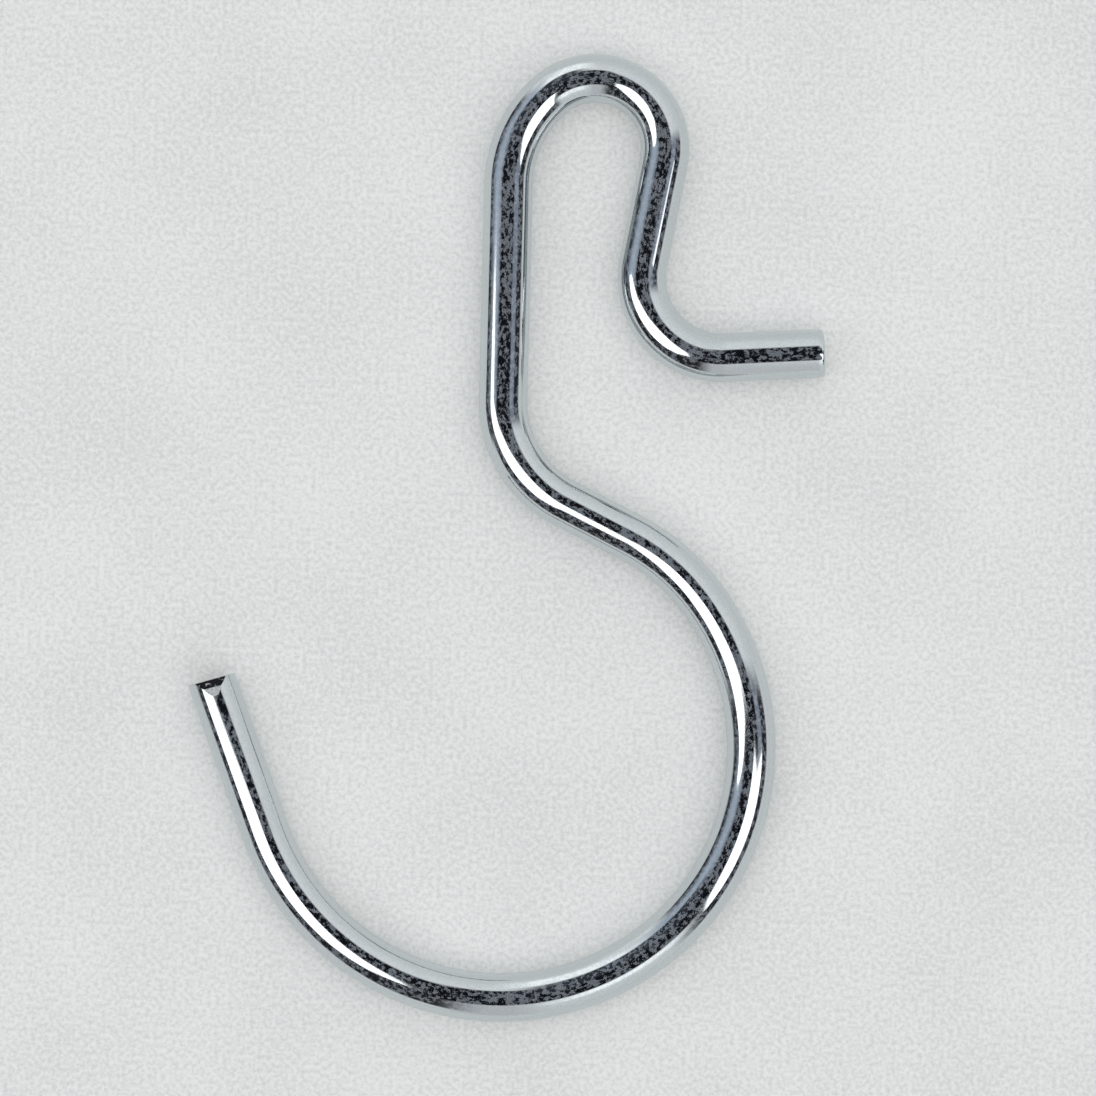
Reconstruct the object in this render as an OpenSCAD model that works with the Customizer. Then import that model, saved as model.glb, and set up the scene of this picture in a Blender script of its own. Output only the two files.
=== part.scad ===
// Curtain hook, bent from one length of round wire.
//
// The wire's centre line is a chain of straights and round bends. Each one
// starts at the pose where the one before it ends, so the line never kinks
// and every size below can change by itself. A pose is [x, y, heading],
// with the heading in degrees from +X.
//
// The hook lies flat on z = 0. The origin is on the centre line of the rail
// that the hook hangs over, the shank runs along Y, and the eyelet loop is
// at the +Y end. Units are millimetres and degrees.

/* [Wire] */
// Diameter of the wire
wire_d = 3; // [2:0.1:3.4]
// How much the wire's radius thins where it is stretched round a bend
bend_thin = 0.002; // [0.001:0.001:0.004]
// Slope of the taper that eases a straight into a bend
taper_slope = 0.05; // [0.05:0.01:0.2]

/* [Rail hook] */
// Radius of the seat that lies on the rail, to the wire's centre line
seat_r = 15.4; // [13:0.1:22]
// Angle that the seat wraps around the rail
seat_wrap = 197; // [150:1:215]
// Radius of the easing bend between the neck and the seat
ease_r = 12.8; // [6:0.1:20]
// Angle of the easing bend
ease_turn = 26; // [10:1:40]
// Length of the straight lead-in, from the seat to the cut tip
lead_l = 9.9; // [4:0.1:13]

/* [Shank] */
// Length of the straight shank between the eyelet loop and the shoulder
shank_l = 13.3; // [9:0.1:30]
// Radius of the shoulder that sets the shank over the middle of the seat
shoulder_r = 7; // [3:0.1:12]
// Angle of the shoulder
shoulder_turn = 64; // [50:1:75]
// Length of the straight neck between the shoulder and the easing bend
neck_l = 4.6; // [1:0.1:9]

/* [Eyelet loop] */
// Radius of the tight side of the loop, to the wire's centre line
loop_r = 4.3; // [3.4:0.1:6]
// Angle of the tight side of the loop
loop_turn = 144; // [130:1:155]
// Radius of the open side of the loop, where it runs into the shank
crown_r = 7.5; // [5:0.1:10]
// Angle of the open side of the loop
crown_turn = 46; // [30:1:55]
// Length of the loop's short straight side
side_l = 6.3; // [2:0.1:8]

/* [Catch] */
// Radius of the bend between the loop's side and the catch
catch_r = 4.9; // [3:0.1:7]
// Angle of the bend between the loop's side and the catch
catch_turn = 104; // [80:1:115]
// Length of the straight catch, end to bend
catch_l = 6.1; // [3:0.1:10]

/* [Cut ends] */
// Width of the broken edge around the end of the catch
edge_break = 0.2; // [0.05:0.05:0.5]
// Angle by which the cut at the hook's tip is out of square
tip_skew = 4; // [0:1:10]
// Depth of the cutter's nip below the top of the wire, at the tip
nip_depth = 0.35; // [0.2:0.05:0.8]
// Slope of the nip
nip_slope = 28; // [20:1:45]
// Depth of the pressed flat where it meets the nip
press_depth = 0.1; // [0.05:0.01:0.18]
// Slope of the pressed flat
press_slope = 10; // [5:1:18]

/* [Hidden] */
// Sides of the round wire, a multiple of four so that straights and bends
// share their end faces
wire_sides = 32;
// Sides of a full turn of a bend, which sets the length of its steps
turn_sides = 96;
wire_r = wire_d / 2;
// Length of a taper, whose small end is well inside the bend
taper_l = 4 * bend_thin / taper_slope;
// Finish of the bright zinc plating
zinc = [0.74, 0.76, 0.79];

// The shank points along -Y, which fixes the heading of the catch
shank_heading = 270;
catch_heading = shank_heading - loop_turn - crown_turn + catch_turn;

// Poses along the wire, from the end of the catch to the hook's tip
catch_end = [0, 0, catch_heading];
catch_bend = ahead(catch_end, catch_l);
side_start = around(catch_bend, catch_r, -catch_turn);
loop_start = ahead(side_start, side_l);
crown_start = around(loop_start, loop_r, loop_turn);
shank_start = around(crown_start, crown_r, crown_turn);
shoulder_start = ahead(shank_start, shank_l);
neck_start = around(shoulder_start, shoulder_r, shoulder_turn);
ease_start = ahead(neck_start, neck_l);
seat_start = around(ease_start, ease_r, -ease_turn);
lead_start = around(seat_start, seat_r, -seat_wrap);
rail_centre = bend_centre(seat_start, seat_r, -seat_wrap);

// The pose reached by going straight on for a length
function ahead(pose, length) =
    [pose.x + length * cos(pose.z), pose.y + length * sin(pose.z), pose.z];

// The pose reached by bending through an angle, positive to the left
function around(pose, radius, turn) =
    let (
        centre = bend_centre(pose, radius, turn),
        arm = sign(turn) * radius,
        heading = pose.z + turn
    )
    [centre.x + arm * sin(heading), centre.y - arm * cos(heading), heading];

// The centre of a bend that starts at a pose
function bend_centre(pose, radius, turn) =
    let (arm = sign(turn) * radius)
    [pose.x - arm * sin(pose.z), pose.y + arm * cos(pose.z)];

// Puts a child that starts at the origin and runs along +X at a pose
module at(pose)
    translate([pose.x, pose.y, wire_r]) rotate([0, 0, pose.z]) children();

// A length of wire along +X
module rod(length, start_d = wire_d, end_d = wire_d)
    rotate([0, 90, 0])
        cylinder(h = length, d1 = start_d, d2 = end_d, $fn = wire_sides);

// The full wire easing down along +X until it is inside a bend
module taper()
    rod(taper_l, end_d = wire_d - 2 * taper_slope * taper_l);

// A straight, which eases into the bend before it and the bend after it.
// With no length it is the joint where one bend runs into the next.
module straight(length) {
    mirror([1, 0, 0]) taper();
    if (length > 0) rod(length);
    translate([length, 0, 0]) taper();
}

// A bend of wire that starts at a pose, positive to the left
module bend(pose, radius, turn) {
    centre = bend_centre(pose, radius, turn);
    first = min(pose.z, pose.z + turn) - sign(turn) * 90;
    translate([centre.x, centre.y, wire_r])
        rotate([0, 0, first])
            rotate_extrude(angle = abs(turn), $fn = turn_sides)
                translate([radius, 0])
                    circle(r = wire_r - bend_thin, $fn = wire_sides);
}

// The catch, with the broken edge around its end
module catch_straight() {
    rod(edge_break, start_d = wire_d - 2 * edge_break);
    translate([edge_break, 0, 0])
        rod(catch_l - edge_break);
    translate([catch_l, 0, 0])
        taper();
}

// Side view of what the cutter takes off the tip, with the wire's axis along
// X and the end face at x = 0. It nips the top edge and presses a flat into
// the wire behind the nip.
module cutter_profile() {
    nip_l = (nip_depth - press_depth) / tan(nip_slope);
    press_l = press_depth / tan(press_slope);
    polygon([
        [0, -wire_d],
        [0, wire_r - nip_depth],
        [-nip_l, wire_r - press_depth],
        [-nip_l - 2 * press_l, wire_r + press_depth],
        [-nip_l - 2 * press_l, wire_d],
        [wire_d, wire_d],
        [wire_d, -wire_d]
    ]);
}

// The lead-in to the tip, where the wire is cut off a little out of square
module lead_in() {
    spare = wire_r * tan(tip_skew);
    mirror([1, 0, 0]) taper();
    difference() {
        rod(lead_l + spare);
        translate([lead_l, 0, 0])
            rotate([90, 0, -tip_skew])
                linear_extrude(2 * wire_d, center = true)
                    cutter_profile();
    }
}

// The whole hook, in the order in which the wire is bent
module curtain_hook()
    color(zinc)
        translate([-rail_centre.x, -rail_centre.y, 0]) {
            at(catch_end) catch_straight();
            bend(catch_bend, catch_r, -catch_turn);
            at(side_start) straight(side_l);
            bend(loop_start, loop_r, loop_turn);
            at(crown_start) straight(0);
            bend(crown_start, crown_r, crown_turn);
            at(shank_start) straight(shank_l);
            bend(shoulder_start, shoulder_r, shoulder_turn);
            at(neck_start) straight(neck_l);
            bend(ease_start, ease_r, -ease_turn);
            at(seat_start) straight(0);
            bend(seat_start, seat_r, -seat_wrap);
            at(lead_start) lead_in();
        }

curtain_hook();
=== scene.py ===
"""A curtain hook, bent from one length of bright zinc-plated wire.

The hook lies flat on a sheet of pale paper, under soft lamps and between walls
painted dark and pale. Sizes are written in millimetres and degrees, and are
turned into metres and radians where a mesh or a node needs them.
"""

import logging
import math
from abc import ABC, abstractmethod
from collections.abc import Mapping, Sequence
from dataclasses import dataclass, field
from enum import Enum
from typing import ClassVar

import bmesh
import bpy
from mathutils import Matrix, Vector


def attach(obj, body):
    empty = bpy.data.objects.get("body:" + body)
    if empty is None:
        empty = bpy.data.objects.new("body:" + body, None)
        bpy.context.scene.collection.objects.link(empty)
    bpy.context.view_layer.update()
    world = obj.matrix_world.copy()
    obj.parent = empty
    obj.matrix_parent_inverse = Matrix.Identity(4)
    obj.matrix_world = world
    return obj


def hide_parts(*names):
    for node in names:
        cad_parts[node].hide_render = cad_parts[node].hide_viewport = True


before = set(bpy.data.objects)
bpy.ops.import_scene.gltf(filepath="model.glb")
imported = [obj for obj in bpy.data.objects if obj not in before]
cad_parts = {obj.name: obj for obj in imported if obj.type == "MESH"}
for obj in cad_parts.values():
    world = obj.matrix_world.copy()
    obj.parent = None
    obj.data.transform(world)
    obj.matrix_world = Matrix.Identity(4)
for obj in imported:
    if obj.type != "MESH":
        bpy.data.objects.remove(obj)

MM = 0.001
UP = Vector((0.0, 0.0, 1.0))
# What the middle of the picture shows, at the height of the wire's centre line
MIDDLE = (2.58, 12.34, 1.5)
# How far the camera and the studio are turned, counter-clockwise from above
ROLL = 1.44
Colour = tuple[float, float, float]
logger = logging.getLogger("curtain_hook")


# ---------------------------------------------------------------- shader maths


class Shade:
    """A number, colour or vector socket that takes part in Python expressions."""

    def __init__(self, tree: bpy.types.NodeTree, socket: bpy.types.NodeSocket) -> None:
        """Wraps one output socket.

        Args:
            tree: The node tree that holds the socket.
            socket: The output to wrap.
        """
        self.tree = tree
        self.socket = socket

    def _math(self, operation: str, *terms: "Shade | float") -> "Shade":
        """Adds one Math node.

        Args:
            operation: The node's operation.
            *terms: Its inputs, in order.

        Returns:
            The node's result.
        """
        node = self.tree.nodes.new("ShaderNodeMath")
        node.operation = operation
        for slot, term in zip(node.inputs, terms):
            if isinstance(term, Shade):
                self.tree.links.new(term.socket, slot)
            else:
                slot.default_value = term
        return Shade(self.tree, node.outputs[0])

    def __add__(self, other: "Shade | float") -> "Shade":
        """Adds."""
        return self._math("ADD", self, other)

    def __radd__(self, other: float) -> "Shade":
        """Adds to a number."""
        return self._math("ADD", other, self)

    def __sub__(self, other: "Shade | float") -> "Shade":
        """Subtracts."""
        return self._math("SUBTRACT", self, other)

    def __rsub__(self, other: float) -> "Shade":
        """Subtracts from a number."""
        return self._math("SUBTRACT", other, self)

    def __mul__(self, other: "Shade | float") -> "Shade":
        """Multiplies."""
        return self._math("MULTIPLY", self, other)

    def __rmul__(self, other: float) -> "Shade":
        """Multiplies a number."""
        return self._math("MULTIPLY", other, self)

    def largest(self, other: "Shade | float") -> "Shade":
        """The larger of the two."""
        return self._math("MAXIMUM", self, other)

    def smallest(self, other: "Shade | float") -> "Shade":
        """The smaller of the two."""
        return self._math("MINIMUM", self, other)

    def angle(self) -> "Shade":
        """The angle, in degrees, that has this cosine."""
        cosine = self.smallest(1.0).largest(-1.0)
        return self._math("ARCCOSINE", cosine) * (180.0 / math.pi)

    def rising(self, low: float, high: float) -> "Shade":
        """A smooth step.

        Args:
            low: Where the step starts, at 0.
            high: Where it ends, at 1.

        Returns:
            The step, from 0 to 1.
        """
        node = self.tree.nodes.new("ShaderNodeMapRange")
        node.interpolation_type = "SMOOTHSTEP"
        self.tree.links.new(self.socket, node.inputs["Value"])
        node.inputs["From Min"].default_value = low
        node.inputs["From Max"].default_value = high
        return Shade(self.tree, node.outputs["Result"])

    def falling(self, low: float, high: float) -> "Shade":
        """A smooth step from 1 at low to 0 at high."""
        return 1.0 - self.rising(low, high)


Value = Shade | float | int | Sequence[float]


class Graph:
    """The nodes of one material or of the world."""

    def __init__(self, tree: bpy.types.NodeTree) -> None:
        """Starts with an empty tree.

        Args:
            tree: The tree to fill.
        """
        self.tree = tree
        tree.nodes.clear()

    def add(
        self,
        kind: str,
        settings: Mapping[str, object] | None = None,
        values: Mapping[str | int, Value] | None = None,
    ) -> bpy.types.Node:
        """Adds any node.

        Args:
            kind: The node's type.
            settings: Its own settings, which are set before its sockets.
            values: A value or a link for each socket, by name or number.

        Returns:
            The new node.
        """
        node = self.tree.nodes.new(kind)
        for name, setting in (settings or {}).items():
            setattr(node, name, setting)
        for name, value in (values or {}).items():
            if isinstance(value, Shade):
                self.tree.links.new(value.socket, node.inputs[name])
            else:
                node.inputs[name].default_value = value
        return node

    def read(
        self,
        kind: str,
        output: str,
        settings: Mapping[str, object] | None = None,
        values: Mapping[str | int, Value] | None = None,
    ) -> Shade:
        """Adds a node and wraps one of its outputs.

        Args:
            kind: The node's type.
            output: The output's name.
            settings: The node's settings.
            values: A value or a link for each socket.

        Returns:
            The output.
        """
        node = self.add(kind, settings, values)
        return Shade(self.tree, node.outputs[output])

    def blend(self, mask: Value, low: Value, high: Value) -> Shade:
        """Mixes two colours.

        Args:
            mask: How much of the second colour shows.
            low: The colour where the mask is 0.
            high: The colour where the mask is 1.

        Returns:
            The mixed colour.
        """
        slots = {
            0: mask,
            6: low if isinstance(low, Shade) else (*low, 1.0),
            7: high if isinstance(high, Shade) else (*high, 1.0),
        }
        node = self.add("ShaderNodeMix", {"data_type": "RGBA"}, slots)
        return Shade(self.tree, node.outputs[2])

    def dot(self, direction: Shade, other: Sequence[float]) -> Shade:
        """The dot product of a vector socket and a plain vector."""
        return self.read(
            "ShaderNodeVectorMath",
            "Value",
            {"operation": "DOT_PRODUCT"},
            {0: direction, 1: tuple(other)},
        )

    def noise(
        self,
        place: Shade,
        grain: float | Sequence[float],
        detail: float = 2.0,
        roughness: float = 0.5,
    ) -> Shade:
        """Soft noise whose lumps have a given size.

        Args:
            place: The coordinates that the noise reads, in metres.
            grain: The size of a lump in millimetres, along each axis or all.
            detail: How many finer layers lie on it.
            roughness: How strong the finer layers are.

        Returns:
            The noise, near 0.5 on average.
        """
        sizes = grain if isinstance(grain, Sequence) else (grain,) * 3
        scaled = self.read(
            "ShaderNodeMapping",
            "Vector",
            {"vector_type": "POINT"},
            {"Vector": place, "Scale": tuple(1.0 / (size * MM) for size in sizes)},
        )
        return self.read(
            "ShaderNodeTexNoise",
            "Fac",
            {"noise_dimensions": "3D"},
            {
                "Vector": scaled,
                "Scale": 1.0,
                "Detail": detail,
                "Roughness": roughness,
            },
        )

    def bump(self, height: Shade, depth: float) -> Shade:
        """A surface normal from a height.

        Args:
            height: The height, from 0 to 1.
            depth: What a height of 1 stands for, in millimetres.

        Returns:
            The bumped normal.
        """
        return self.read(
            "ShaderNodeBump",
            "Normal",
            None,
            {"Strength": 1.0, "Distance": depth * MM, "Height": height},
        )


# -------------------------------------------------------------------- finishes


@dataclass(frozen=True)
class Finish(ABC):
    """A finish that is made as one material.

    Attributes:
        name: The material's name.
    """

    name: str

    def material(self) -> bpy.types.Material:
        """Makes the material.

        Returns:
            The material, with its nodes.
        """
        material = bpy.data.materials.new(self.name)
        material.use_nodes = True
        graph = Graph(material.node_tree)
        place = graph.read("ShaderNodeTexCoord", "Object")
        surface = self.surface(graph, place)
        graph.add("ShaderNodeOutputMaterial", None, {"Surface": surface})
        return material

    @abstractmethod
    def surface(self, graph: Graph, place: Shade) -> Shade:
        """Builds the surface shader.

        Args:
            graph: The material's nodes.
            place: Object coordinates, in metres.

        Returns:
            The shader.
        """


@dataclass(frozen=True)
class PlatedZinc(Finish):
    """Bright zinc on drawn steel wire, a mirror under a broken matt film.

    Attributes:
        clear: Colour of the bright plating.
        film: Colour of the matt film.
        cover: How much of the mirror the film hides where it is thickest.
        bare_spot: Size of a spot without film.
        stretch: How many times longer a spot is along the wire.
        patch: Size of a patch, in spots.
        broken: Noise levels between which the film sets in.
        patchy: How much the film comes and goes in patches.
        flank: Squares of the height off the centre line between which the
            film sets in, which keeps it off the wire's flanks.
        gloss: Roughness of the bright plating.
        matt: Roughness of the film.
        draw_line: Size of a line left by drawing the wire, along and across it.
        draw_depth: Depth of those lines.
        grain: Size of the plating's own grain, in spots.
        grain_depth: Depth of that grain.
    """

    name: str = "bright_zinc_plating"
    clear: Colour = (0.64, 0.68, 0.695)
    film: Colour = (0.44, 0.49, 0.56)
    cover: float = 0.3
    bare_spot: float = 0.2
    stretch: float = 1.5
    patch: float = 8.0
    broken: tuple[float, float] = (0.46, 0.57)
    patchy: float = 0.25
    flank: tuple[float, float] = (1.0, 1.35)
    gloss: float = 0.07
    matt: float = 0.6
    draw_line: tuple[float, float, float] = (4.0, 0.09, 0.09)
    draw_depth: float = 0.00015
    grain: float = 0.6
    grain_depth: float = 0.00015

    def surface(self, graph: Graph, place: Shade) -> Shade:
        """Builds the plating from its mirror, film, draw lines and grain.

        Args:
            graph: The material's nodes.
            place: Object coordinates, in metres.

        Returns:
            The mixed shader.
        """
        drawn = graph.read(
            "ShaderNodeAttribute",
            "Vector",
            {"attribute_type": "GEOMETRY", "attribute_name": CurtainHook.DRAWN},
        )
        spot = self.bare_spot
        lumps = graph.noise(
            drawn, (spot * self.stretch, spot, spot), detail=3.0, roughness=0.65
        )
        patches = graph.noise(place, spot * self.patch)
        level = graph.dot(drawn, (0.0, 0.0, 1.0 / MM))
        facing = (level * level).rising(*self.flank)
        film = (lumps + (patches - 0.5) * self.patchy).rising(*self.broken) * facing
        lines = graph.noise(drawn, self.draw_line)
        grain = graph.noise(place, spot * self.grain)
        height = lines * (self.draw_depth / self.grain_depth) + grain
        normal = graph.bump(height, self.grain_depth)
        mirror = graph.read(
            "ShaderNodeBsdfPrincipled",
            "BSDF",
            None,
            {
                "Base Color": (*self.clear, 1.0),
                "Metallic": 1.0,
                "Roughness": self.gloss,
                "Normal": normal,
            },
        )
        cloud = graph.read(
            "ShaderNodeBsdfPrincipled",
            "BSDF",
            None,
            {
                "Base Color": (*self.film, 1.0),
                "Roughness": self.matt,
                "Normal": normal,
            },
        )
        return graph.read(
            "ShaderNodeMixShader",
            "Shader",
            None,
            {0: film * self.cover, 1: mirror, 2: cloud},
        )


@dataclass(frozen=True)
class ShearedSteel(Finish):
    """Bare steel where the cutter sheared the wire, torn, with its mirrored dark
    painted in as shade.

    Attributes:
        steel: Colour of the torn steel, near black: painted shade for the dark that
            the cut face mirrors.
        burnished: Colour of the small places that the blade rubbed bright.
        rubbed: Noise levels between which a place is rubbed bright.
        matt: Roughness of the torn steel.
        polish: How much smoother a rubbed place is.
        rub: Size of a rubbed place, in tear marks.
        tear: Width of a tear mark.
        stretch: How many times taller than wide a tear mark is.
        tear_depth: Depth of the tear marks.
    """

    name: str = "sheared_steel"
    # Painted shade: near black for the dark that the cut face mirrors
    steel: Colour = (0.02, 0.02, 0.022)
    burnished: Colour = (0.45, 0.46, 0.48)
    rubbed: tuple[float, float] = (0.62, 0.72)
    matt: float = 0.45
    polish: float = 0.15
    rub: float = 1.4
    tear: float = 0.12
    stretch: float = 4.0
    tear_depth: float = 0.02

    def surface(self, graph: Graph, place: Shade) -> Shade:
        """Builds the torn surface.

        Args:
            graph: The material's nodes.
            place: Object coordinates, in metres.

        Returns:
            The shader.
        """
        mark = (self.tear, self.tear, self.tear * self.stretch)
        tears = graph.noise(place, mark, detail=4.0, roughness=0.6)
        spots = graph.noise(place, self.tear * self.rub, detail=1.0)
        rubbed = spots.rising(*self.rubbed)
        return graph.read(
            "ShaderNodeBsdfPrincipled",
            "BSDF",
            None,
            {
                "Base Color": graph.blend(rubbed, self.steel, self.burnished),
                "Metallic": 1.0,
                "Roughness": self.matt - rubbed * self.polish,
                "Normal": graph.bump(tears, self.tear_depth),
            },
        )


@dataclass(frozen=True)
class ScuffedZinc(Finish):
    """Plating pressed and scuffed by the cutter, paler and rougher.

    Attributes:
        zinc: Colour of the scuffed plating.
        worn: Colour where the scuffing is deepest.
        deep: Noise levels between which a scuff counts as deep.
        matt: Roughness of the pressed plating.
        rasp: How much rougher the scuffs are.
        scuff: Size of a scuff.
        scuff_depth: Depth of the scuffs.
    """

    name: str = "scuffed_zinc"
    zinc: Colour = (0.86, 0.89, 0.90)
    worn: Colour = (0.5, 0.53, 0.55)
    deep: tuple[float, float] = (0.5, 0.68)
    matt: float = 0.5
    rasp: float = 0.2
    scuff: float = 0.15
    scuff_depth: float = 0.012

    def surface(self, graph: Graph, place: Shade) -> Shade:
        """Builds the scuffed surface.

        Args:
            graph: The material's nodes.
            place: Object coordinates, in metres.

        Returns:
            The shader.
        """
        scuffs = graph.noise(place, self.scuff, detail=3.0, roughness=0.6)
        deep = scuffs.rising(*self.deep)
        return graph.read(
            "ShaderNodeBsdfPrincipled",
            "BSDF",
            None,
            {
                "Base Color": graph.blend(deep, self.zinc, self.worn),
                "Metallic": 1.0,
                "Roughness": self.matt + scuffs * self.rasp,
                "Normal": graph.bump(scuffs, self.scuff_depth),
            },
        )


@dataclass(frozen=True)
class PalePaper(Finish):
    """The sheet of pale paper that the hook lies on.

    Attributes:
        tone: Colour of the paper.
        fleck: Colour of its slightly darker fibres.
        fibre: Size of the fibres.
        fibre_depth: Depth of the fibres.
        cloud: Size of a broad cloud, in fibres.
        cloudy: How much of the pattern is clouds and not fibres.
        flecked: Pattern levels between which the flecks set in.
        matt: Roughness of the paper.
        sheen: How strongly it mirrors, where 0.5 is usual.
        glow: How much of the paper's tone shows in its own shadows.
        mirrored_glow: The same, where metal mirrors the paper.
    """

    name: str = "pale_paper"
    tone: Colour = (0.785, 0.80, 0.792)
    fleck: Colour = (0.62, 0.638, 0.632)
    fibre: float = 0.27
    fibre_depth: float = 0.01
    cloud: float = 40.0
    cloudy: float = 0.2
    flecked: tuple[float, float] = (0.35, 0.7)
    matt: float = 0.9
    sheen: float = 0.15
    glow: float = 0.3
    mirrored_glow: float = 0.12

    def surface(self, graph: Graph, place: Shade) -> Shade:
        """Builds the paper from its fibres.

        Args:
            graph: The material's nodes.
            place: Object coordinates, in metres.

        Returns:
            The shader.
        """
        fibres = graph.noise(place, self.fibre, detail=3.0, roughness=0.6)
        clouds = graph.noise(place, self.fibre * self.cloud)
        pattern = fibres * (1.0 - self.cloudy) + clouds * self.cloudy
        colour = graph.blend(pattern.rising(*self.flecked), self.tone, self.fleck)
        sheet = graph.read(
            "ShaderNodeBsdfPrincipled",
            "BSDF",
            None,
            {
                "Base Color": colour,
                "Roughness": self.matt,
                "Specular IOR Level": self.sheen,
                "Normal": graph.bump(fibres, self.fibre_depth),
            },
        )
        glow = graph.read("ShaderNodeEmission", "Emission", None, {"Color": colour})
        rays = graph.add("ShaderNodeLightPath")
        direct, mirrored, through = (
            Shade(graph.tree, rays.outputs[kind])
            for kind in ("Is Camera Ray", "Is Glossy Ray", "Is Transmission Ray")
        )
        seen = direct.largest(through) * self.glow
        seen = seen.largest(mirrored * self.mirrored_glow)
        return graph.read(
            "ShaderNodeMixShader", "Shader", None, {0: seen, 1: sheet, 2: glow}
        )


@dataclass(frozen=True)
class LampCloth(Finish):
    """The glowing cloth of a soft lamp.

    Attributes:
        level: Its brightness.
    """

    name: str = "lamp_cloth"
    level: float = 2.2

    def surface(self, graph: Graph, place: Shade) -> Shade:
        """Builds the glow.

        Args:
            graph: The material's nodes.
            place: Object coordinates, which an even glow doesn't need.

        Returns:
            The shader.
        """
        return graph.read(
            "ShaderNodeEmission", "Emission", None, {"Strength": self.level}
        )


def dressed(
    name: str, mesh: bmesh.types.BMesh, finishes: Sequence[Finish]
) -> bpy.types.Object:
    """Turns a finished mesh into an object in its finishes.

    Args:
        name: The object's name.
        mesh: The mesh, which is used up.
        finishes: The finishes, in the order of their material slots.

    Returns:
        The object.
    """
    data = bpy.data.meshes.new(name)
    mesh.to_mesh(data)
    mesh.free()
    for finish in finishes:
        data.materials.append(finish.material())
    made = bpy.data.objects.new(name, data)
    bpy.context.scene.collection.objects.link(made)
    return made


# -------------------------------------------------------------------- the wire


class Side(Enum):
    """The side of the wire's path that a bend turns to."""

    LEFT = 1
    RIGHT = -1


@dataclass(frozen=True)
class Pose:
    """A place on the wire's centre line, and the way that the wire runs there.

    Attributes:
        x: Place along X.
        y: Place along Y.
        heading: Angle from +X.
    """

    x: float
    y: float
    heading: float

    def unit(self, turn: float = 0.0) -> Vector:
        """The flat unit vector along the heading, turned by an angle."""
        angle = math.radians(self.heading + turn)
        return Vector((math.cos(angle), math.sin(angle), 0.0))

    def moved(self, step: Vector, turn: float = 0.0) -> "Pose":
        """The pose a step away, with its heading turned by an angle."""
        return Pose(self.x + step.x, self.y + step.y, self.heading + turn)

    def at(self, height: float) -> Vector:
        """The pose's place in metres, at a height in millimetres."""
        return Vector((self.x, self.y, height)) * MM


@dataclass
class Ring:
    """The open end of the wire while it is being made.

    Attributes:
        mesh: The mesh under way.
        along: Vertex layer with the place on the wire as if it lay straight.
        parts: The end's vertices and edges.
        pose: Where the end is.
        height: Height of the centre line.
    """

    mesh: bmesh.types.BMesh
    along: bmesh.types.BMLayerItem
    parts: list[bmesh.types.BMVert | bmesh.types.BMEdge]
    pose: Pose
    height: float

    def verts(self) -> list[bmesh.types.BMVert]:
        """The end's vertices."""
        return [part for part in self.parts if isinstance(part, bmesh.types.BMVert)]

    def edges(self) -> list[bmesh.types.BMEdge]:
        """The end's edges."""
        return [part for part in self.parts if isinstance(part, bmesh.types.BMEdge)]

    def drawn_out(self, length: float) -> None:
        """Moves the end's straightened places on by a length in millimetres."""
        for vert in self.verts():
            vert[self.along] = vert[self.along] + Vector((length * MM, 0.0, 0.0))


class Run(ABC):
    """One stretch of the wire."""

    @abstractmethod
    def end(self, start: Pose) -> Pose:
        """The pose at the end of a run that begins at a pose."""

    @abstractmethod
    def pull(self, ring: Ring) -> None:
        """Draws the wire on through this run, from the ring."""


@dataclass(frozen=True)
class Straight(Run):
    """A straight stretch.

    Attributes:
        length: Its length.
    """

    length: float

    def end(self, start: Pose) -> Pose:
        """The pose straight ahead."""
        return start.moved(start.unit() * self.length)

    def pull(self, ring: Ring) -> None:
        """Extrudes the ring straight on.

        Args:
            ring: The open end, which moves on.
        """
        made = bmesh.ops.extrude_edge_only(ring.mesh, edges=ring.edges())["geom"]
        far = {part for part in made if isinstance(part, bmesh.types.BMVert)}
        edges = {part for part in made if isinstance(part, bmesh.types.BMEdge)}
        # The new end is the new vertices and the edges between them
        ends = far | {edge for edge in edges if far.issuperset(edge.verts)}
        ring.parts = [part for part in made if part in ends]
        bmesh.ops.translate(
            ring.mesh, vec=ring.pose.unit() * self.length * MM, verts=ring.verts()
        )
        ring.drawn_out(self.length)
        ring.pose = self.end(ring.pose)


@dataclass(frozen=True)
class Bend(Run):
    """A round bend.

    Attributes:
        STEP: The most that the wire turns from one ring to the next.
        radius: Its radius, to the wire's centre line.
        angle: The angle that it turns through.
        side: The side that it turns to.
    """

    STEP: ClassVar[float] = 1.5

    radius: float
    angle: float
    side: Side

    def centre(self, start: Pose) -> Pose:
        """The centre of the bend."""
        return start.moved(start.unit(90.0 * self.side.value) * self.radius)

    def end(self, start: Pose) -> Pose:
        """The pose after the bend."""
        turn = self.angle * self.side.value
        arm = start.unit(turn - 90.0 * self.side.value) * self.radius
        return self.centre(start).moved(arm, turn)

    def pull(self, ring: Ring) -> None:
        """Spins the ring round the bend's centre, a small step at a time.

        Args:
            ring: The open end, which moves on.
        """
        steps = math.ceil(self.angle / self.STEP)
        step = Bend(self.radius, self.angle / steps, self.side)
        turn = math.radians(step.angle)
        for _ in range(steps):
            ring.parts = bmesh.ops.spin(
                ring.mesh,
                geom=ring.parts,
                cent=self.centre(ring.pose).at(ring.height),
                axis=UP,
                angle=turn * self.side.value,
                steps=1,
                use_merge=False,
                use_duplicate=False,
            )["geom_last"]
            ring.drawn_out(turn * self.radius)
            ring.pose = step.end(ring.pose)


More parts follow.
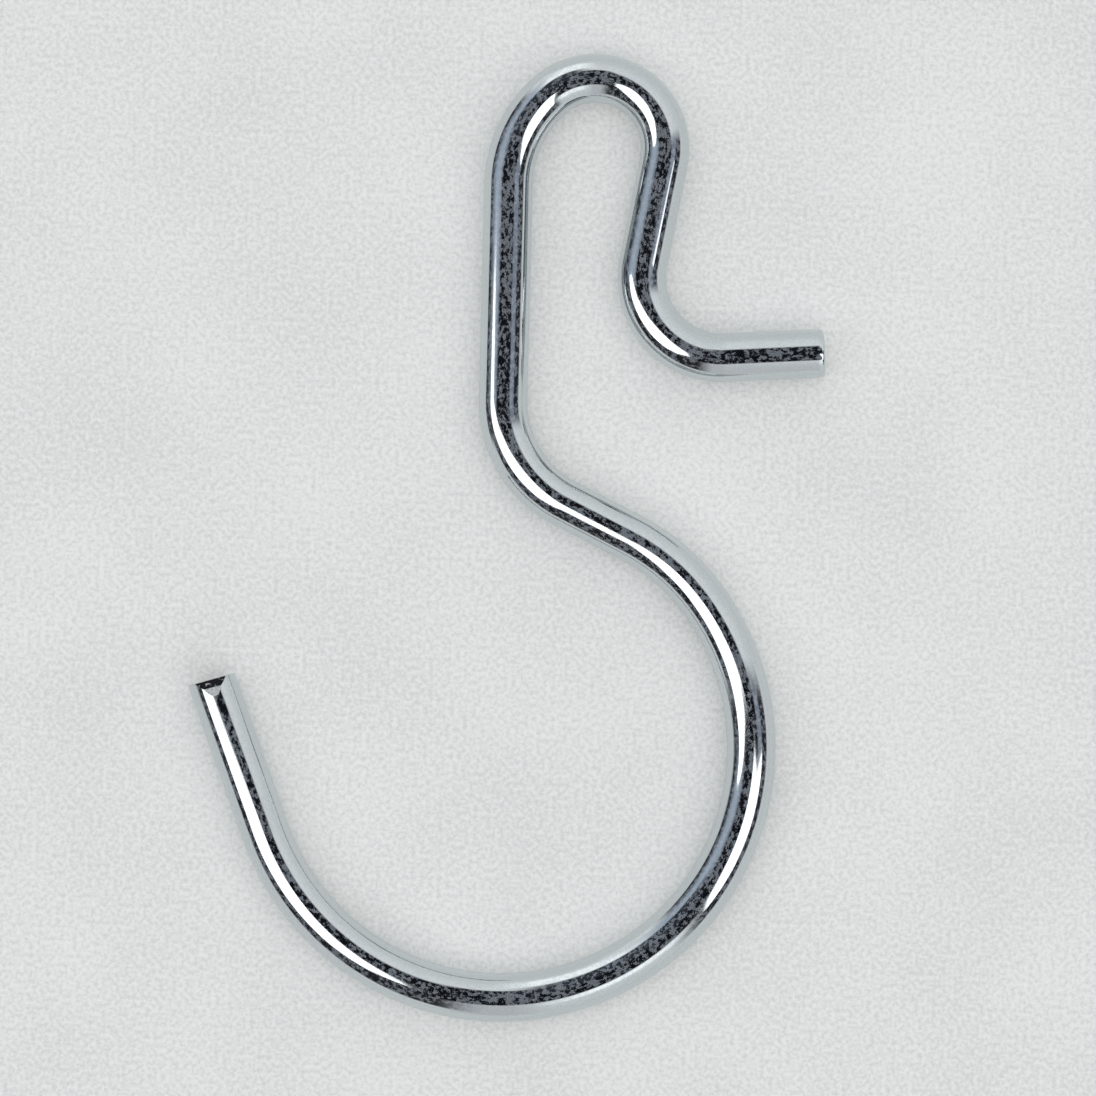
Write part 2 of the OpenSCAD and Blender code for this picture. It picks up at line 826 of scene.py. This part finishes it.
@dataclass(frozen=True)
class CutterMark:
    """What the cutter left at the hook's tip.

    Attributes:
        REACH: How far from the tip the cuts may take metal off.
        CLOSE: How near a plane a point counts as on it, in metres.
        skew: Angle by which the cut is out of square.
        nip_depth: Depth of the nip at the tip.
        nip_slope: Slope of the nip.
        press_depth: Depth of the pressed flat where it meets the nip.
        press_slope: Slope of the pressed flat.
    """

    REACH: ClassVar[float] = 3.2
    CLOSE: ClassVar[float] = 1e-8

    skew: float = 4.0
    nip_depth: float = 0.35
    nip_slope: float = 28.0
    press_depth: float = 0.1
    press_slope: float = 10.0

    def cut(self, ring: Ring, radius: float, slots: Mapping[str, int]) -> None:
        """Cuts the tip where the ring is, which lies a little past it.

        Args:
            ring: The open end. Its pose is the tip's.
            radius: Radius of the wire.
            slots: Material slots of the finishes, by name.
        """
        run = ring.pose.unit(-self.skew)
        tip = ring.pose.at(ring.height)
        nip_length = (self.nip_depth - self.press_depth) / math.tan(
            math.radians(self.nip_slope)
        )
        self._slice(ring, tip, run, slots["sheared"])
        self._slice(
            ring,
            tip + UP * (radius - self.nip_depth) * MM,
            self._sloped(run, self.nip_slope),
            slots["sheared"],
        )
        self._slice(
            ring,
            tip + (UP * (radius - self.press_depth) - run * nip_length) * MM,
            self._sloped(run, self.press_slope),
            slots["scuffed"],
        )

    @staticmethod
    def _sloped(run: Vector, slope: float) -> Vector:
        """The normal of a face that falls away along a direction."""
        angle = math.radians(slope)
        return run * math.sin(angle) + UP * math.cos(angle)

    def _slice(self, ring: Ring, place: Vector, normal: Vector, slot: int) -> None:
        """Cuts off what lies beyond a plane near the tip, and closes the cut.

        Args:
            ring: The open end.
            place: A point on the plane.
            normal: The plane's normal, towards what is cut off.
            slot: Material slot of the cut face.
        """
        mesh, tip = ring.mesh, ring.pose.at(ring.height)
        near = {v for v in mesh.verts if (v.co - tip).length < self.REACH * MM}
        geom = [
            part
            for kind in (mesh.edges, mesh.faces)
            for part in kind
            if near.issuperset(part.verts)
        ]
        cut = bmesh.ops.bisect_plane(
            mesh,
            geom=[*near, *geom],
            dist=self.CLOSE,
            plane_co=place,
            plane_no=normal,
            clear_outer=True,
        )["geom_cut"]
        rim = [e for e in cut if isinstance(e, bmesh.types.BMEdge) and e.is_boundary]
        bmesh.ops.edgeloop_fill(mesh, edges=rim, mat_nr=slot, use_smooth=False)


@dataclass
class CurtainHook:
    """The hook, bent from one length of round wire.

    Attributes:
        DRAWN: Name of the vertex layer with the place on the wire as if it
            lay straight.
        AROUND: Number of vertices round the wire.
        SHANK_HEADING: Heading of the shank, which sets that of the catch.
        LAST: Length of the last stretch before the tip, which takes the cuts.
        PAST: How far past the cuts the wire is drawn.
        BREAK_STEPS: Number of faces across the broken edge.
        SHARP: Angle from which an edge is left sharp.
        wire_d: Diameter of the wire.
        catch_l: Length of the straight catch.
        catch_r: Radius of the bend between the catch and the loop's side.
        catch_turn: Angle of that bend.
        side_l: Length of the loop's short straight side.
        loop_r: Radius of the loop's tight side.
        loop_turn: Angle of the loop's tight side.
        crown_r: Radius of the loop's open side.
        crown_turn: Angle of the loop's open side.
        shank_l: Length of the straight shank.
        shoulder_r: Radius of the shoulder.
        shoulder_turn: Angle of the shoulder.
        neck_l: Length of the straight neck.
        ease_r: Radius of the easing bend.
        ease_turn: Angle of the easing bend.
        seat_r: Radius of the seat that lies on the rail.
        seat_wrap: Angle that the seat wraps round the rail.
        lead_l: Length of the straight lead-in to the tip.
        edge_break: Width of the broken edge at the end of the catch.
        mark: What the cutter left at the tip.
        plating: Finish of the wire.
        sheared: Finish of the cut.
        scuffed: Finish of the pressed flat.
    """

    DRAWN: ClassVar[str] = "drawn_place"
    AROUND: ClassVar[int] = 128
    SHANK_HEADING: ClassVar[float] = 270.0
    LAST: ClassVar[float] = 2.0
    PAST: ClassVar[float] = 0.1
    BREAK_STEPS: ClassVar[int] = 3
    SHARP: ClassVar[float] = 40.0

    wire_d: float = 3.0
    catch_l: float = 6.1
    catch_r: float = 4.9
    catch_turn: float = 104.0
    side_l: float = 6.3
    loop_r: float = 4.3
    loop_turn: float = 144.0
    crown_r: float = 7.5
    crown_turn: float = 46.0
    shank_l: float = 13.3
    shoulder_r: float = 7.0
    shoulder_turn: float = 64.0
    neck_l: float = 4.6
    ease_r: float = 12.8
    ease_turn: float = 26.0
    seat_r: float = 15.4
    seat_wrap: float = 197.0
    lead_l: float = 9.9
    edge_break: float = 0.2
    mark: CutterMark = field(default_factory=CutterMark)
    plating: Finish = field(default_factory=PlatedZinc)
    sheared: Finish = field(default_factory=ShearedSteel)
    scuffed: Finish = field(default_factory=ScuffedZinc)

    def seat(self) -> Bend:
        """The seat that lies on the rail."""
        return Bend(self.seat_r, self.seat_wrap, Side.RIGHT)

    def runs(self) -> list[Run]:
        """The wire's stretches, from the end of the catch to the hook's tip.

        Returns:
            The runs, in the order in which the wire is bent.
        """
        return [
            Straight(self.catch_l),
            Bend(self.catch_r, self.catch_turn, Side.RIGHT),
            Straight(self.side_l),
            Bend(self.loop_r, self.loop_turn, Side.LEFT),
            Bend(self.crown_r, self.crown_turn, Side.LEFT),
            Straight(self.shank_l),
            Bend(self.shoulder_r, self.shoulder_turn, Side.LEFT),
            Straight(self.neck_l),
            Bend(self.ease_r, self.ease_turn, Side.RIGHT),
            self.seat(),
            Straight(self.lead_l),
        ]

    def start(self) -> Pose:
        """The pose of the catch's end, with the seat's centre on the origin.

        Returns:
            The pose where the wire starts.
        """
        heading = (
            self.SHANK_HEADING - self.loop_turn - self.crown_turn + self.catch_turn
        )
        pose = Pose(0.0, 0.0, heading)
        *before, _, _ = self.runs()
        for run in before:
            pose = run.end(pose)
        centre = self.seat().centre(pose)
        return Pose(-centre.x, -centre.y, heading)

    def build(self) -> bpy.types.Object:
        """Draws the wire through its runs, cuts its ends and dresses it.

        Returns:
            The hook.
        """
        finishes = {
            "plated": self.plating,
            "sheared": self.sheared,
            "scuffed": self.scuffed,
        }
        slots = {name: number for number, name in enumerate(finishes)}
        mesh = bmesh.new()
        ring = self._first_ring(mesh)
        first = ring.edges()
        catch, *runs, lead = self.runs()
        Straight(2 * self.edge_break).pull(ring)
        Straight(catch.length - 2 * self.edge_break).pull(ring)
        for run in runs:
            run.pull(ring)
        self._lead_in(ring, lead, slots)
        self._break_edge(mesh, first)
        self._shade(mesh)
        return dressed("hook_wire", mesh, list(finishes.values()))

    def _first_ring(self, mesh: bmesh.types.BMesh) -> Ring:
        """Makes the flat end of the catch.

        Args:
            mesh: The empty mesh.

        Returns:
            The ring that the wire is drawn from.
        """
        pose, radius = self.start(), self.wire_d / 2
        along = mesh.verts.layers.float_vector.new(self.DRAWN)
        flat = Matrix.Rotation(math.radians(90.0), 4, "Y")
        verts = bmesh.ops.create_circle(
            mesh, cap_ends=True, segments=self.AROUND, radius=radius * MM, matrix=flat
        )["verts"]
        for vert in verts:
            vert[along] = vert.co
        turn = Matrix.Rotation(math.radians(pose.heading), 4, "Z")
        bmesh.ops.transform(
            mesh, matrix=Matrix.Translation(pose.at(radius)) @ turn, verts=verts
        )
        return Ring(mesh, along, [*verts, *mesh.edges], pose, radius)

    def _lead_in(self, ring: Ring, lead: Straight, slots: Mapping[str, int]) -> None:
        """Draws the lead-in a little past the tip, and cuts it there.

        Args:
            ring: The open end, at the end of the seat.
            lead: The lead-in.
            slots: Material slots of the finishes, by name.
        """
        radius = self.wire_d / 2
        spare = radius * math.tan(math.radians(self.mark.skew)) + self.PAST
        Straight(lead.length - self.LAST).pull(ring)
        tip = Straight(self.LAST).end(ring.pose)
        Straight(self.LAST + spare).pull(ring)
        ring.pose = tip
        self.mark.cut(ring, radius, slots)

    def _break_edge(
        self, mesh: bmesh.types.BMesh, rim: list[bmesh.types.BMEdge]
    ) -> None:
        """Breaks the sharp edge round the end of the catch.

        Args:
            mesh: The wire.
            rim: The edges round the catch's end face.
        """
        bmesh.ops.bevel(
            mesh,
            geom=rim,
            offset=self.edge_break * MM,
            offset_type="OFFSET",
            segments=self.BREAK_STEPS,
            profile=0.5,
            affect="EDGES",
            material=-1,
            clamp_overlap=True,
        )

    def _shade(self, mesh: bmesh.types.BMesh) -> None:
        """Points the faces outwards, smooth but for the sharp edges.

        Args:
            mesh: The wire.
        """
        sharp = math.radians(self.SHARP)
        bmesh.ops.recalc_face_normals(mesh, faces=mesh.faces)
        for face in mesh.faces:
            face.smooth = len(face.verts) <= 4
        for edge in mesh.edges:
            flat = [face for face in edge.link_faces if not face.smooth]
            edge.smooth = not flat and edge.calc_face_angle(0.0) < sharp


# ------------------------------------------------------------------ the studio


@dataclass(frozen=True)
class SoftLamp:
    """A soft lamp, a flat glowing panel that faces down.

    Attributes:
        name: Its name.
        corners: Its corners as seen from the hook, as places on a ceiling that
            is one unit above it.
        cloth: Its finish.
        height: Height that it hangs at.
        mirrored: Whether it shows in the metal.
    """

    name: str
    corners: tuple[tuple[float, float], ...]
    cloth: Finish = LampCloth()
    height: float = 1200.0
    mirrored: bool = True

    def hang(self, above: Vector, roll: float) -> None:
        """Hangs the lamp over a place.

        Args:
            above: The place that the corners are seen from, in millimetres.
            roll: How far the lamp is turned, counter-clockwise from above.
        """
        turn = Matrix.Rotation(math.radians(roll), 3, "Z")
        mesh = bmesh.new()
        verts = [
            mesh.verts.new((above + turn @ Vector((*corner, 1.0)) * self.height) * MM)
            for corner in self.corners
        ]
        bmesh.ops.contextual_create(mesh, geom=verts)
        bmesh.ops.recalc_face_normals(mesh, faces=mesh.faces)
        lamp = dressed(self.name, mesh, [self.cloth])
        lamp.visible_camera = False
        lamp.visible_glossy = self.mirrored


@dataclass(frozen=True)
class Zone:
    """A soft-edged part of the studio's walls.

    Attributes:
        ALL_ROUND: Half width of a zone that goes all the way round.
        colour: Its colour.
        middle: Azimuth of its middle.
        half: Half of its width.
        top: Where it starts, as an angle down from overhead.
        foot: Where it ends.
        side_edge: Softness of its sides.
        height_edge: Softness of its top and foot.
    """

    ALL_ROUND: ClassVar[float] = 180.0

    colour: Colour
    middle: float
    half: float
    top: float
    foot: float
    side_edge: float = 6.0
    height_edge: float = 4.0

    def mask(self, graph: Graph, level: Shade, down: Shade) -> Shade:
        """Where the zone is.

        Args:
            graph: The world's nodes.
            level: The direction that is looked at, made level, of unit length.
            down: The angle from overhead, in degrees.

        Returns:
            1 in the zone and 0 outside it.
        """
        mask = down.falling(self.foot - self.height_edge, self.foot + self.height_edge)
        if self.top > 0.0:
            mask = mask * down.rising(
                self.top - self.height_edge, self.top + self.height_edge
            )
        if self.half < self.ALL_ROUND:
            angle = math.radians(self.middle)
            middle = (math.cos(angle), math.sin(angle), 0.0)
            mask = mask * graph.dot(level, middle).angle().falling(
                self.half - self.side_edge, self.half + self.side_edge
            )
        return mask


@dataclass
class Studio:
    """The light round the hook, and the paper under it.

    Attributes:
        above: The place that the studio is laid out round.
        roll: How far the studio is turned, counter-clockwise from above.
        high_wall: Colour of the walls near the ceiling.
        low_wall: Colour of the walls near the floor.
        wall_fade: Angles down from overhead between which the one turns into
            the other.
        zones: The other parts of the walls and the ceiling, in the order in
            which one covers another.
        lamps: The lamps.
        paper: Finish of the paper on the floor.
        paper_reach: How far the paper reaches from the origin, each way.
    """

    above: tuple[float, float, float] = MIDDLE
    roll: float = ROLL
    high_wall: Colour = (0.89, 0.9, 0.9)
    low_wall: Colour = (0.75, 0.76, 0.76)
    wall_fade: tuple[float, float] = (38.0, 82.0)
    zones: tuple[Zone, ...] = (
        Zone((0.6, 0.6, 0.61), 268.0, 9.0, 34.0, 90.0, 6.0, 5.0),
        Zone((1.3, 1.31, 1.31), 114.0, 20.0, 44.0, 76.0, 8.0, 8.0),
        Zone((0.88, 0.89, 0.89), 128.0, 10.0, 62.0, 90.0, 8.0, 8.0),
        Zone((1.35, 1.36, 1.36), 302.0, 20.0, 34.0, 52.0, 8.0, 5.0),
        Zone((0.02, 0.02, 0.022), 228.0, 33.0, 0.0, 79.0),
        Zone((0.025, 0.025, 0.03), 166.0, 30.0, 0.0, 90.0, 6.0, 2.0),
        Zone((0.42, 0.48, 0.57), 155.0, 27.0, 34.0, 70.0, 8.0, 14.0),
        Zone((0.022, 0.024, 0.028), 343.0, 30.0, 0.0, 76.0),
        Zone((0.25, 0.28, 0.34), 0.0, 12.0, 8.0, 50.0),
        Zone((0.008, 0.009, 0.012), 0.0, 180.0, 0.0, 30.0),
        Zone((0.008, 0.009, 0.012), 90.0, 12.0, 0.0, 35.0, 6.0, 3.0),
        Zone((0.035, 0.04, 0.05), 124.0, 26.0, 10.0, 47.0, 8.0),
        Zone((0.006, 0.007, 0.01), 284.0, 34.0, 0.0, 34.0, 6.0, 3.0),
    )
    lamps: tuple[SoftLamp, ...] = (
        SoftLamp(
            "key_lamp",
            (
                (-0.09, -0.07),
                (-0.29, -0.11),
                (-0.62, -0.09),
                (-0.84, 0.0),
                (-1.1, 0.09),
                (-1.25, 0.13),
                (-1.82, 0.16),
                (-1.78, -0.31),
                (-1.45, -0.54),
                (-1.03, -0.8),
                (-0.71, -0.86),
                (-0.41, -0.71),
                (-0.17, -0.45),
                (-0.09, -0.2),
            ),
        ),
        SoftLamp(
            "side_lamp",
            (
                (0.17, -0.06),
                (0.2, -0.16),
                (0.34, -0.3),
                (0.63, -0.56),
                (0.88, -0.78),
                (1.19, -0.69),
                (1.3, -0.45),
                (1.22, -0.08),
                (0.95, -0.09),
                (0.63, -0.11),
                (0.28, -0.05),
            ),
        ),
        SoftLamp(
            "fill_lamp",
            ((-0.7, -0.7), (0.7, -0.7), (0.7, 0.7), (-0.7, 0.7)),
            LampCloth(level=1.5),
            mirrored=False,
        ),
    )
    paper: Finish = PalePaper()
    paper_reach: float = 2000.0

    def build(self) -> None:
        """Lays the paper, hangs the lamps and paints the walls."""
        self._paint_walls()
        for lamp in self.lamps:
            lamp.hang(Vector(self.above), self.roll)
        self._lay_paper()

    def _paint_walls(self) -> None:
        """Paints the walls and the ceiling into the world."""
        world = bpy.data.worlds.new("studio")
        world.use_nodes = True
        bpy.context.scene.world = world
        graph = Graph(world.node_tree)
        direction = graph.read(
            "ShaderNodeVectorRotate",
            "Vector",
            {"rotation_type": "Z_AXIS"},
            {
                "Vector": graph.read("ShaderNodeTexCoord", "Generated"),
                "Angle": math.radians(-self.roll),
            },
        )
        flat = graph.read(
            "ShaderNodeVectorMath",
            "Vector",
            {"operation": "MULTIPLY"},
            {0: direction, 1: (1.0, 1.0, 0.0)},
        )
        level = graph.read(
            "ShaderNodeVectorMath", "Vector", {"operation": "NORMALIZE"}, {0: flat}
        )
        down = graph.dot(direction, UP).angle()
        fade = down.rising(*self.wall_fade)
        colour = graph.blend(fade, self.high_wall, self.low_wall)
        for zone in self.zones:
            colour = graph.blend(zone.mask(graph, level, down), colour, zone.colour)
        background = graph.read(
            "ShaderNodeBackground", "Background", None, {"Color": colour}
        )
        graph.add("ShaderNodeOutputWorld", None, {"Surface": background})

    def _lay_paper(self) -> None:
        """Lays the paper under the hook, as part of the stage."""
        mesh = bmesh.new()
        bmesh.ops.create_grid(
            mesh, x_segments=1, y_segments=1, size=self.paper_reach * MM
        )
        dressed("paper", mesh, [self.paper])


@dataclass(frozen=True)
class Viewpoint:
    """The camera, straight above the hook.

    Attributes:
        middle: What the middle of the picture shows, at the wire's height.
        width: Width that the picture takes in there.
        lens: Focal length.
        sensor: Width of the sensor.
        near: How far from the camera the picture starts.
        far: How far from the camera it ends.
        roll: How far the camera is turned, counter-clockwise from above.
    """

    middle: tuple[float, float, float] = MIDDLE
    width: float = 67.46
    lens: float = 180.0
    sensor: float = 36.0
    near: float = 10.0
    far: float = 20000.0
    roll: float = ROLL

    def build(self) -> None:
        """Puts up the camera."""
        data = bpy.data.cameras.new("camera")
        data.lens = self.lens
        data.sensor_width = self.sensor
        data.clip_start = self.near * MM
        data.clip_end = self.far * MM
        camera = bpy.data.objects.new("camera", data)
        bpy.context.scene.collection.objects.link(camera)
        distance = self.width * self.lens / self.sensor
        camera.location = (Vector(self.middle) + UP * distance) * MM
        camera.rotation_euler = (0.0, 0.0, math.radians(self.roll))
        bpy.context.scene.camera = camera


def main() -> None:
    """Builds the hook, the studio and the camera."""
    logging.basicConfig(level=logging.INFO)
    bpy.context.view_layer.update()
    bpy.context.scene.view_settings.view_transform = "Standard"

    hook = CurtainHook().build()
    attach(hook, "root")
    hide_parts("curtain_hook")
    logger.info("%s: %d faces", hook.name, len(hook.data.polygons))

    Studio().build()
    logger.info("studio: lit")
    Viewpoint().build()
    logger.info("camera: up")


if __name__ == "__main__":
    main()
